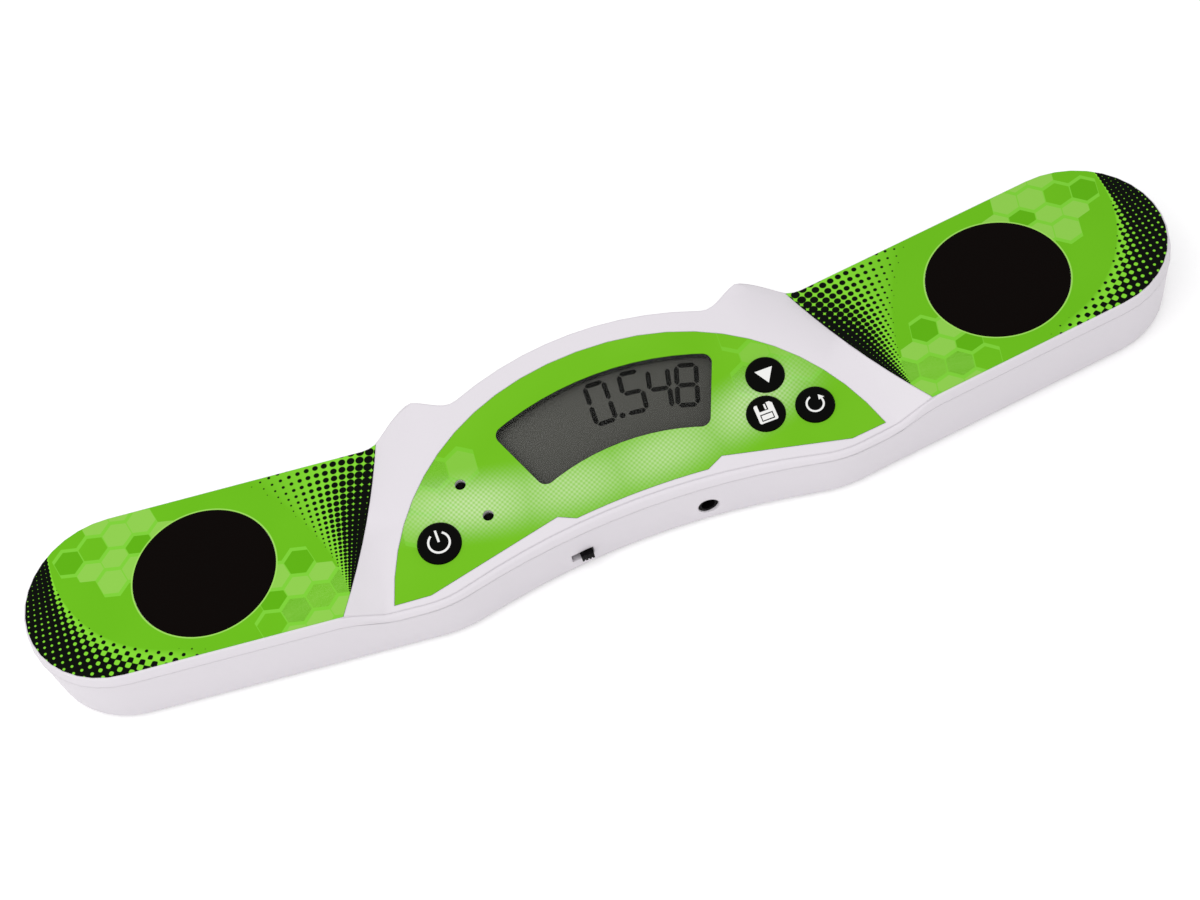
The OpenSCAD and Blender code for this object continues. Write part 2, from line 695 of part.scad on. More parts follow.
// A key cap is a turned form: crowned top, straight skirt and a stem, with two ears
module key_cap(at, d) {
  edge = 0.35;
  crown = 0.15;
  r = d / 2;
  color(key_black) placed() on_panel(at[0], at[1], 0) {
    rotate_extrude($fn = 64) polygon([
      [0, plunger_top], [stem_d / 2, plunger_top], [stem_d / 2, cap_back], [r, cap_back],
      [r, key_h - crown - edge], [r - edge, key_h - crown], [r / 2, key_h - crown / 4], [0, key_h]]);
    intersection() {
      translate([0, 0, -cover_t - 0.05 - ear_t]) linear_extrude(ear_t) key_ears([0, 0], d, 0);
      translate([0, 0, -20]) cylinder(h = 40, r = r + ear_reach);
    }
  }
}
module power_button() { key_cap(power_at, power_d); }
module recall_button() { key_cap(recall_at, key_d); }
module save_button() { key_cap(save_at, key_d); }
module reset_button() { key_cap(reset_at, key_d); }

module hand_leds() {
  led_r = led_hole_d / 2 - 0.15;
  top = -0.8;
  color("#3a1214") placed() for (at = led_at) on_panel(at[0], at[1], board_top) {
    cylinder(h = 0.6, r = led_r + 0.3);
    cylinder(h = top - led_r - board_top, r = led_r);
    translate([0, 0, top - led_r - board_top]) intersection() {
      sphere(r = led_r);
      cylinder(h = led_r, r = led_r);
    }
  }
}

module board_screws() {
  color("#b9bcc0") placed() for (at = post_at) on_panel(at[0], at[1], board_back) difference() {
    union() {
      translate([0, 0, -1.2]) cylinder(h = 1.2, d = 3.6);
      translate([0, 0, -0.1]) cylinder(h = board_t + 3, d = board_screw_d - 0.06);
    }
    translate([0, 0, -1.3]) for (turn = [0, 90]) rotate([0, 0, turn])
      translate([-1.1, -0.2, 0]) cube([2.2, 0.4, 0.8]);
  }
}

// ---- Connector board ----

module io_board() {
  color("#1f6b3a") placed() difference() {
    box([-io_half, wall_front + 0.3, io_board_z], [io_half, bay_y - 4.2, io_board_z + io_board_t]);
    for (at = io_post_at) translate([at[0], at[1], 0]) cylinder(h = high, d = io_pin_d + 0.1);
  }
}

module board_link() {
  header = [11, 2.5, 2.5];
  base = io_board_z + io_board_t;
  pins = [-3.81, -1.27, 1.27, 3.81];
  color("#1b1b1d") placed() {
    translate([-header[0] / 2, link_y - header[1] / 2, base]) cube(header);
    difference() {
      for (x = pins) translate([x - 0.32, link_y - 0.32, base + 1]) cube([0.64, 0.64, 12]);
      on_panel(w = board_back) box([-20, -40, 0], [20, 40, 20]);
    }
  }
}

module data_jack() {
  front = -front_y - 0.1;
  body_front = wall_front + 0.5;
  color("#1a1a1c") placed() difference() {
    union() {
      translate([jack_x - jack_body[0] / 2, body_front, jack_z - jack_body[2] / 2]) cube(jack_body);
      translate([jack_x, body_front + 1, jack_z]) rotate([90, 0, 0])
        cylinder(h = body_front + 1 - front, d = jack_nose_d);
    }
    translate([jack_x, body_front + jack_body[1] - 1.5, jack_z]) rotate([90, 0, 0])
      cylinder(h = far, d = jack_bore);
  }
}

module slide_switch() {
  body_front = wall_front + 0.5;
  travel_room = [slot_w, switch_body[1] - 0.8, slot_h - 0.2];
  color("#c9ccd0") placed() difference() {
    translate([slot_x - switch_body[0] / 2, body_front, slot_z - switch_body[2] / 2]) cube(switch_body);
    translate([slot_x - slot_w / 2, body_front - 1, slot_z - travel_room[2] / 2])
      cube([travel_room[0], travel_room[1] + 1, travel_room[2]]);
  }
}

module slide_lever() {
  gap = 0.3;
  h = slot_h - 2 * gap;
  right = slot_x + slot_w / 2 - gap;
  body_front = wall_front + 0.5;
  out = -front_y - lever_out - 0.4;
  color("#0e0e10") placed() difference() {
    box([right - lever_w, out, slot_z - h / 2], [right, body_front + 2.6, slot_z + h / 2]);
    for (i = [-1:1]) translate([right - lever_w / 2 + 0.9 * i - 0.15, out - 0.7, slot_z - h])
      cube([0.3, 1, 2 * h]);
  }
}

// ---- Batteries ----

module battery_cells() {
  nub_d = 3.8;
  color("#c2a24a") placed() for (i = [0, 1]) translate([0, cell_ys[i], cell_z]) rotate([0, i == 0 ? 90 : -90, 0])
    rotate_extrude() translate([0, -cell_len / 2]) polygon([
      [0, 0], [cell_d / 2 - 0.8, 0], [cell_d / 2, 0.8], [cell_d / 2, cell_len - 0.8],
      [cell_d / 2 - 0.8, cell_len], [nub_d / 2, cell_len], [nub_d / 2, cell_len + nub_h], [0, cell_len + nub_h]]);
}

// Spring leaf at the flat end of each cell, folded from strip
module battery_springs() {
  t = 0.4;
  reach = contact_room - 0.15;
  color("#d0d2d4") placed() for (i = [0, 1]) translate([0, cell_ys[i], cell_z]) mirror([i, 0, 0])
    translate([-bay_half_x + 0.05, leaf_w / 2, 0]) rotate([90, 0, 0]) linear_extrude(leaf_w) polygon([
      [0, -4.4], [t, -4.4], [t, 3], [reach - t, 0], [reach - t, -3.2], [reach, -3.2],
      [reach, 0.3], [t + 0.1, 3.6], [0, 3.6]]);
}

module battery_tabs() {
  tab = 7;
  t = 0.4;
  bump_h = contact_room - nub_h - t - 0.15;
  color("#d0d2d4") placed() for (i = [0, 1]) translate([0, cell_ys[i], cell_z]) mirror([i, 0, 0])
    translate([bay_half_x - 0.05, 0, 0]) rotate([0, -90, 0]) {
      translate([-tab / 2, -tab / 2, 0]) cube([tab, tab, t]);
      cylinder(h = t + bump_h, d1 = 4.6, d2 = 2.6);
      if (i == 0) translate([-1.5, 0, 0]) cube([3, cell_ys[1] - cell_ys[0] - leaf_w / 2 - 0.1, t]);
    }
}

// Leads from the two end contacts up to the main board, outside the bay
module battery_leads() {
  x = -bay_half_x - bay_wall - wire_d;
  base = panel_point(x, 0, board_back);
  color("#a32020") placed() for (y = cell_ys)
    wire([[-bay_half_x - bay_wall - 0.05, y, cell_z], [x, y, cell_z],
          [x, y, base[2] + tan(panel_tilt) * (y - base[1]) - 0.25]], wire_d);
}

module battery_door() {
  gap = 0.25;
  color(housing_white) placed() {
    difference() {
      box([-door_half_x, hinge_at[0], foot_stand], [door_half_x, door_back, door_top]);
      for (i = [0:5]) translate([-6, door_back - 4.5 - i * 1.2, foot_stand - 0.5]) cube([12, 0.5, 0.9]);
    }
    intersection() {
      translate([0, hinge_at[0], hinge_at[1]]) rotate([0, 90, 0])
        cylinder(h = 2 * door_half_x, r = hinge_r, center = true);
      box([-far, -far, low], [far, hinge_at[0] + 0.6, high]);
    }
    for (i = [0, 1], x = [-14, 14]) translate([x - 0.6, cell_ys[i] - 2, door_top - 0.2])
      cube([1.2, 4, 0.2 + gap - 0.05]);
  }
}

// ---- Feet and screws ----

module rubber_feet() {
  color("#2b2b2d") placed() both_sides() for (at = foot_at) translate([at[0], at[1], 0]) rotate_extrude()
    polygon([[0, 0], [foot_d / 2 - 0.5, 0], [foot_d / 2, 0.5], [foot_d / 2, foot_stand + foot_pocket],
             [0, foot_stand + foot_pocket]]);
}

module case_screws() {
  color("#8d9094") placed() both_sides() for (at = screw_at) translate([at[0], at[1], head_z]) difference() {
    union() {
      translate([0, 0, -1.6]) cylinder(h = 1.6, d = screw_head_d);
      translate([0, 0, -0.1]) cylinder(h = boss_z + 5 - head_z, d = screw_d - 0.36);
    }
    translate([0, 0, -1.7]) for (turn = [0, 90]) rotate([0, 0, turn])
      translate([-1.4, -0.3, 0]) cube([2.8, 0.6, 1.1]);
  }
}

top_cover();
bottom_cover();
left_arm_label();
right_arm_label();
centre_label();
left_touch_pad();
right_touch_pad();
left_pad_electrode();
right_pad_electrode();
left_sensor_wire();
right_sensor_wire();
display_window();
lcd_glass();
lcd_frame();
lcd_connectors();
main_board();
controller_chip();
tact_switches();
power_button();
recall_button();
save_button();
reset_button();
power_plunger();
recall_plunger();
save_plunger();
reset_plunger();
hand_leds();
board_screws();
io_board();
board_link();
data_jack();
slide_switch();
slide_lever();
battery_cells();
battery_springs();
battery_tabs();
battery_leads();
battery_door();
rubber_feet();
case_screws();
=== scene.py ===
# %% [markdown]
# # A speed cube timer
# The timer is a low moulded housing with a touch pad on each arm and, between the arms, a raised
# panel tilted towards the user. Its shapes come from the CAD model, which is loaded as a fixed
# frame. This lesson adds what the CAD leaves out: the camera, the light, the finish of every
# material, the printed labels, the signs on the keys and the digits of the display.

import math
import bmesh
import bpy
from mathutils import Matrix, Vector


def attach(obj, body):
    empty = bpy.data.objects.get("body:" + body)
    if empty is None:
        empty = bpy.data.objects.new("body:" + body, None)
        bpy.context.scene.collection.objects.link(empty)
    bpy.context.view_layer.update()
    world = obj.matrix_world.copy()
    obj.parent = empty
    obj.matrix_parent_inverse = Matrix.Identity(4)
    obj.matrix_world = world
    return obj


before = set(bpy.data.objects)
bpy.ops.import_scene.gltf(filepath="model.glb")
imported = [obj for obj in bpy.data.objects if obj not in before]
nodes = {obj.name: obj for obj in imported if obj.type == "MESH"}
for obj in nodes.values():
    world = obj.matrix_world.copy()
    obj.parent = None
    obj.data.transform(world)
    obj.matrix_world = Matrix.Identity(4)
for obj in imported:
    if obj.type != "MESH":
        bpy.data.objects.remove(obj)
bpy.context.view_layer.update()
MM = 0.001

# %% [markdown]
# ## Camera
# The view was fitted to the photograph: the two round pads appear as ellipses, and the line
# between them and their flattening give the angles. The camera stands 0.57 m away, looks down at
# 55 degrees and is rolled by 15 degrees, so the timer lies slanted in the picture.

# %% Camera
VIEW = {"azimuth": -6.44, "elevation": 54.98, "roll": 15.06, "focal_px": 2305.0, "distance": 31.71 * 18}
ARM_TOP, PAD_X, PAD_R = 22.0, 105.0, 18.0
ORIGIN_Y = 1.43948  # the line of pad centres lies this far behind the origin
azimuth, elevation, roll = (math.radians(VIEW[k]) for k in ("azimuth", "elevation", "roll"))
turn = (Matrix.Rotation(roll, 3, "Z") @ Matrix.Rotation(elevation - math.pi / 2, 3, "X")
        @ Matrix.Rotation(-azimuth, 3, "Z"))
shift = Vector(((605.5 - 600) / VIEW["focal_px"], (450 - 423.8) / VIEW["focal_px"], -1)) * VIEW["distance"]
place = Vector((0, ORIGIN_Y, ARM_TOP)) - turn.transposed() @ shift
lens = bpy.data.cameras.new("studio_camera")
lens.lens = VIEW["focal_px"] / 1200 * lens.sensor_width
lens.clip_start = 0.01
camera = bpy.data.objects.new("studio_camera", lens)
camera.matrix_world = Matrix.Translation(place * MM) @ turn.transposed().to_4x4()
bpy.context.scene.collection.objects.link(camera)
bpy.context.scene.camera = camera
bpy.context.scene.view_settings.view_transform = "Standard"
print("Camera at", [round(c, 4) for c in camera.location], "lens", round(lens.lens, 2), "mm")

# %% [markdown]
# ## Helpers for node trees
# Every material and every geometry tree is built with one small function: it adds a node, sets its
# properties, and gives each of its inputs a value or a link. Inputs that the node's mode doesn't use
# are skipped, so a list of values reads like the node does in the editor.

# %% Node helper


def add(tree, kind, inputs=(), **settings):
    """Adds a node. inputs is a list in the node's own order, or a dict by name. A node given as a
    value stands for its first output."""
    made = tree.nodes.new(kind)
    for name, value in settings.items():
        setattr(made, name, value)
    free = [s for s in made.inputs if not s.is_unavailable]
    pairs = inputs.items() if isinstance(inputs, dict) else enumerate(inputs)
    for key, value in pairs:
        socket = free[key] if isinstance(key, int) else next(s for s in free if s.name == key)
        if isinstance(value, bpy.types.Node):
            value = next(s for s in value.outputs if not s.is_unavailable)
        if isinstance(value, bpy.types.NodeSocket):
            tree.links.new(value, socket)
        elif value is not None:
            socket.default_value = value
    return made


def srgb(code):
    """An sRGB hex code as the linear colour that Blender works in."""
    parts = [int(code[i : i + 2], 16) / 255 for i in (1, 3, 5)]
    return [c / 12.92 if c <= 0.04045 else ((c + 0.055) / 1.055) ** 2.4 for c in parts] + [1.0]


MATH, VECTOR, MIX = "ShaderNodeMath", "ShaderNodeVectorMath", "ShaderNodeMix"
finishes = {}


def finish(name, **sockets):
    """A new material with one Principled shader. Returns its tree, the shader and millimetre coordinates."""
    material = bpy.data.materials.new(name)
    material.use_nodes = True
    tree = material.node_tree
    tree.nodes.clear()
    shader = add(tree, "ShaderNodeBsdfPrincipled", {k.replace("_", " "): v for k, v in sockets.items()})
    add(tree, "ShaderNodeOutputMaterial", [shader])
    place = add(tree, "ShaderNodeTexCoord")
    mm = add(tree, VECTOR, [place.outputs["Object"], (1000, 1000, 1000)], operation="MULTIPLY")
    finishes[name] = material
    return tree, shader, mm


print("Helpers ready")

# %% [markdown]
# ## Moulded plastics
# The two covers and the battery door are injection moulded in white ABS from a tool with a fine
# spark-eroded texture. That gives the eye a soft, even sheen: highlights are broad, and a close look
# shows a grain of about 0.4 mm. The other plastics are moulded too, so one function makes them all,
# and each gets its own colour, gloss and grain. Black pieces get a low specular level, because
# their real surfaces are etched or printed and send back less of the white studio.

# %% Moulded plastics


def moulded(name, colour, roughness, grain_mm, depth, spread=0.05, tint=0.03, round_mm=0.0, **sockets):
    """Moulded plastic: even colour with a faint drift, and a fine grain in roughness and height.
    round_mm softens the look of the edges, which a mould never makes quite sharp."""
    tree, shader, mm = finish(name, Roughness=roughness, **sockets)
    grain = add(tree, "ShaderNodeTexNoise", {"Vector": mm, "Scale": 1 / grain_mm, "Detail": 3.0})
    drift = add(tree, "ShaderNodeTexNoise", {"Vector": mm, "Scale": 0.02, "Detail": 1.0})
    dark = [c * (1 - tint) for c in srgb(colour)[:3]] + [1]
    tone = add(tree, MIX, [drift, dark, srgb(colour)], data_type="RGBA")
    rough = add(tree, "ShaderNodeMapRange", [grain, 0.3, 0.7, roughness - spread, roughness + spread])
    bump = add(tree, "ShaderNodeBump", {"Height": grain, "Strength": 0.35, "Distance": depth * MM})
    if round_mm:
        edge = add(tree, "ShaderNodeBevel", {"Radius": round_mm * MM}, samples=6)
        tree.links.new(edge.outputs["Normal"], bump.inputs["Normal"])
    tree.links.new(tone.outputs["Result"], shader.inputs["Base Color"])
    tree.links.new(rough.outputs["Result"], shader.inputs["Roughness"])
    tree.links.new(bump.outputs["Normal"], shader.inputs["Normal"])
    return finishes[name]


# white ABS, eroded mould: satin, a cool white with a touch of pink
moulded("abs_white_satin", "#e6e1e7", 0.48, 0.4, 0.02, round_mm=0.6, IOR=1.52, Specular_IOR_Level=0.3)
# black polished caps: a faint clear reflection
moulded("key_black_polished", "#070706", 0.25, 0.8, 0.003, round_mm=0.3, IOR=1.5, Specular_IOR_Level=0.03)
# black printed film of the touch pads: flat and deep
moulded("pad_black_matt", "#0a0605", 0.55, 0.3, 0.008, IOR=1.5, Specular_IOR_Level=0.02)
# black nylon of the jack, the lever and the pin header
moulded("polyamide_black", "#0c0a0c", 0.5, 0.4, 0.02, IOR=1.53, Specular_IOR_Level=0.06)
# moulded styrene of the display's frame: a light even grey with a low gloss
moulded("styrene_grey", "#d0d0cc", 0.4, 0.5, 0.01, IOR=1.55)
# moulded nylon of the switch bodies: a dark satin
moulded("switch_dark_nylon", "#1c1c1e", 0.45, 0.3, 0.01, IOR=1.53, Specular_IOR_Level=0.15)
# moulded acetal of the plungers: warm cream, smooth
moulded("plunger_cream_acetal", "#cfcabf", 0.35, 0.3, 0.01, IOR=1.48)
# poured resin over the chip: glossy and a little wavy
moulded("resin_drop_black", "#101010", 0.22, 1.2, 0.05, IOR=1.55)
# epoxy of the lamps, coloured near black, so they show as dark discs
moulded("led_dark_epoxy", "#0b0708", 0.4, 0.6, 0.002, IOR=1.54, Specular_IOR_Level=0.03)
# extruded vinyl sleeves of the wires, grey and red: a dull plastic shine
moulded("wire_sleeve_grey", "#3a3a3d", 0.45, 0.5, 0.01, IOR=1.53)
moulded("wire_sleeve_red", "#8e1d1c", 0.45, 0.5, 0.01, IOR=1.53)
# moulded silicone of the conductive strips: soft pink and matt
moulded("silicone_pink", "#cf7484", 0.6, 0.4, 0.02, IOR=1.41)
# moulded rubber of the feet: dark, matt, with a coarse grain
moulded("foot_rubber", "#262628", 0.75, 0.25, 0.05, IOR=1.52, Specular_IOR_Level=0.3)
print("Moulded finishes:", len(finishes))

# %% [markdown]
# ## Metals and boards
# Screws, contacts and the switch cans are zinc or nickel plated steel: bright, with fine brushed
# lines from rolling and tumbling. The electrodes are thin copper foil. The boards are glass fibre
# under green solder mask, whose weave shows as a faint grid of about half a millimetre.

# %% Metals and boards


def rolled_metal(name, colour, roughness, line_mm):
    """Sheet or wire metal: lines along X, a little uneven, that spread the highlight."""
    tree, shader, mm = finish(name, Metallic=1.0, Roughness=roughness)
    lines = add(tree, "ShaderNodeMapping", {"Vector": mm, "Scale": (0.15 / line_mm, 1 / line_mm, 1 / line_mm)})
    grain = add(tree, "ShaderNodeTexNoise", {"Vector": lines, "Scale": 1.0, "Detail": 4.0})
    tone = add(tree, MIX, [grain, [c * 0.8 for c in srgb(colour)[:3]] + [1], srgb(colour)], data_type="RGBA")
    rough = add(tree, "ShaderNodeMapRange", [grain, 0.3, 0.7, roughness - 0.07, roughness + 0.07])
    tree.links.new(tone.outputs["Result"], shader.inputs["Base Color"])
    tree.links.new(rough.outputs["Result"], shader.inputs["Roughness"])
    return finishes[name]


def solder_mask(name, colour):
    """Board lacquer: a gloss coat over a fine checker that stands for the weave."""
    tree, shader, mm = finish(name, Roughness=0.3, IOR=1.5, Coat_Weight=0.3)
    weave = add(tree, "ShaderNodeTexChecker", {"Vector": mm, "Scale": 2.0, "Color1": srgb(colour),
                                               "Color2": [c * 0.85 for c in srgb(colour)[:3]] + [1]})
    tree.links.new(weave.outputs["Color"], shader.inputs["Base Color"])
    return finishes[name]


# zinc plating of the screws: a cool bright grey
rolled_metal("zinc_plated_steel", "#c6c8ca", 0.3, 0.2)
# nickel plating of springs and tabs: a warmer, glossier grey
rolled_metal("nickel_plated_steel", "#d4d0c6", 0.25, 0.2)
# rolled copper of the electrodes: reddish, softly lined
rolled_metal("copper_foil", "#d08a5c", 0.35, 0.3)
# foil sleeve of the cells: dull gold
rolled_metal("cell_foil_gold", "#c8a850", 0.32, 0.4)
# solder mask over glass weave: glossy dark green with a faint grid
solder_mask("board_green_mask", "#1f6b3a")
print("Finishes so far:", len(finishes))

# %% [markdown]
# ## Printed film of the arms
# Each arm carries a label of polycarbonate film, printed on its back, so the surface stays smooth.
# The green fades into black by a halftone at the arm's tip and along its inner edge: round dots
# that grow until they meet. A halftone screen is the sum of two cosines. Where it passes a
# threshold the ink is black, so one field, the coverage, makes small dots, touching dots and
# finally small light gaps. The screen runs in rings round a corner and its pitch grows with the
# distance, which keeps the dots round while their size changes.

# %% Halftone and honeycomb
GREEN_DEEP, GREEN_BRIGHT = "#60b213", "#84d936"
GREEN_PALE, GREEN_LINE = "#90cf50", "#7fd03a"
INK = "#050804"
EDGE_X, EDGE_BOW, EDGE_LEAN, ARM_W = 62.3, 1.3, math.radians(23.6), 47.8
EDGE_R = ARM_W**2 / (8 * EDGE_BOW)
EDGE_AT = (EDGE_X + EDGE_R * math.cos(EDGE_LEAN), EDGE_R * math.sin(EDGE_LEAN))


def halftone(tree, x, y, corner, step, coverage, discs=False):
    """1 where ink covers the film. step is the screen's pitch over its distance from the corner.
    With discs=True the ink is plain discs, and coverage is their radius over the pitch."""
    dx = add(tree, MATH, [x, corner[0]], operation="SUBTRACT")
    dy = add(tree, MATH, [y, corner[1]], operation="SUBTRACT")
    square = add(tree, MATH, [dx, dx], operation="MULTIPLY")
    reach = add(tree, MATH, [dy, dy, square], operation="MULTIPLY_ADD")
    ring = add(tree, MATH, [reach, math.e], operation="LOGARITHM")
    angle = add(tree, MATH, [dy, dx], operation="ARCTAN2")
    if discs:
        apart = []
        for value, rate in ((angle, 1 / step), (ring, 0.5 / step)):
            part = add(tree, MATH, [add(tree, MATH, [value, rate], operation="MULTIPLY"), 0.0, 1.0],
                       operation="WRAP")
            apart.append(add(tree, MATH, [part, 0.5], operation="SUBTRACT"))
        off = add(tree, VECTOR, [add(tree, "ShaderNodeCombineXYZ", apart)], operation="LENGTH")
        over = add(tree, MATH, [coverage, off.outputs["Value"]], operation="SUBTRACT")
        return add(tree, "ShaderNodeMapRange", [over, 0.0, 0.07, 0, 1])
    across = add(tree, MATH, [angle, 2 * math.pi / step], operation="MULTIPLY")
    along = add(tree, MATH, [ring, math.pi / step], operation="MULTIPLY")
    screen = add(tree, MATH, [add(tree, MATH, [across], operation="COSINE"),
                              add(tree, MATH, [along], operation="COSINE")], operation="ADD")
    over = add(tree, MATH, [coverage, 4.0, add(tree, MATH, [screen, 2.0], operation="SUBTRACT")],
               operation="MULTIPLY_ADD")
    return add(tree, "ShaderNodeMapRange", [over, 0.05, 0.4, 0, 1])


def honeycomb(tree, x, y, spacing, turn):
    """Hexagonal cells: distance to the cell's border in mm, a number for each cell, its centre."""
    flat = add(tree, "ShaderNodeCombineXYZ", [x, y, 0.0])
    turned = add(tree, "ShaderNodeVectorRotate", {"Vector": flat, "Angle": turn}, rotation_type="Z_AXIS")
    scaled = add(tree, VECTOR, [turned, (1 / spacing,) * 3], operation="MULTIPLY")
    period, half = (1.0, math.sqrt(3), 1.0), (0.5, math.sqrt(3) / 2, 0.5)
    from_a = add(tree, VECTOR, [add(tree, VECTOR, [scaled, (0, 0, 0), period], operation="WRAP"), half],
                 operation="SUBTRACT")
    moved = add(tree, VECTOR, [scaled, half], operation="SUBTRACT")
    from_b = add(tree, VECTOR, [add(tree, VECTOR, [moved, (0, 0, 0), period], operation="WRAP"), half],
                 operation="SUBTRACT")
    nearer = add(tree, MATH, [add(tree, VECTOR, [from_a], operation="LENGTH").outputs["Value"],
                              add(tree, VECTOR, [from_b], operation="LENGTH").outputs["Value"]],
                 operation="LESS_THAN")
    local = add(tree, MIX, [nearer, from_b, from_a], data_type="VECTOR")
    local = next(s for s in local.outputs if not s.is_unavailable)
    size = add(tree, VECTOR, [local], operation="ABSOLUTE")
    slant = add(tree, VECTOR, [size, (0.5, math.sqrt(3) / 2, 0.0)], operation="DOT_PRODUCT")
    wide = add(tree, "ShaderNodeSeparateXYZ", [size])
    far = add(tree, MATH, [slant.outputs["Value"], wide.outputs[0]], operation="MAXIMUM")
    border = add(tree, MATH, [add(tree, MATH, [0.5, far], operation="SUBTRACT"), spacing], operation="MULTIPLY")
    centre = add(tree, VECTOR, [scaled, local], operation="SUBTRACT")
    near_centre = add(tree, VECTOR, [centre, (0.25, 0.25, 0.25)], operation="SNAP")
    snapped = add(tree, VECTOR, [near_centre, (7.1, 3.1, 0.0)], operation="ADD")
    lot = add(tree, "ShaderNodeTexWhiteNoise", {"Vector": snapped}, noise_dimensions="2D")
    back = add(tree, VECTOR, [centre, (spacing,) * 3], operation="MULTIPLY")
    middle = add(tree, "ShaderNodeVectorRotate", {"Vector": back, "Angle": -turn}, rotation_type="Z_AXIS")
    return border, lot.outputs["Value"], middle


def cells_over(tree, green, border, lot, here):
    """Lays pale and deep cells with a fine outline over a green, where 'here' is 1."""
    pale = add(tree, MATH, [lot, 0.38], operation="GREATER_THAN")
    deep = add(tree, MATH, [lot, 0.14], operation="LESS_THAN")
    inside = add(tree, "ShaderNodeMapRange", [border, 0.08, 0.2, 0, 1])
    shade = add(tree, MIX, [deep, green, srgb(GREEN_DEEP)], data_type="RGBA")
    shade = add(tree, MIX, [pale, shade.outputs["Result"], srgb(GREEN_PALE)], data_type="RGBA")
    cell = add(tree, MIX, [inside, srgb(GREEN_LINE), shade.outputs["Result"]], data_type="RGBA")
    shown = add(tree, MIX, [here, green, cell.outputs["Result"]], data_type="RGBA")
    return shown.outputs["Result"]


print("Inner edge: radius", round(EDGE_R, 1), "mm")

# %% [markdown]
# ## The arm label itself
# The two fades and the honeycomb are laid over one green. Both arms share the material, since it
# reads the distance from the middle, not the side.

# %% Arm label film


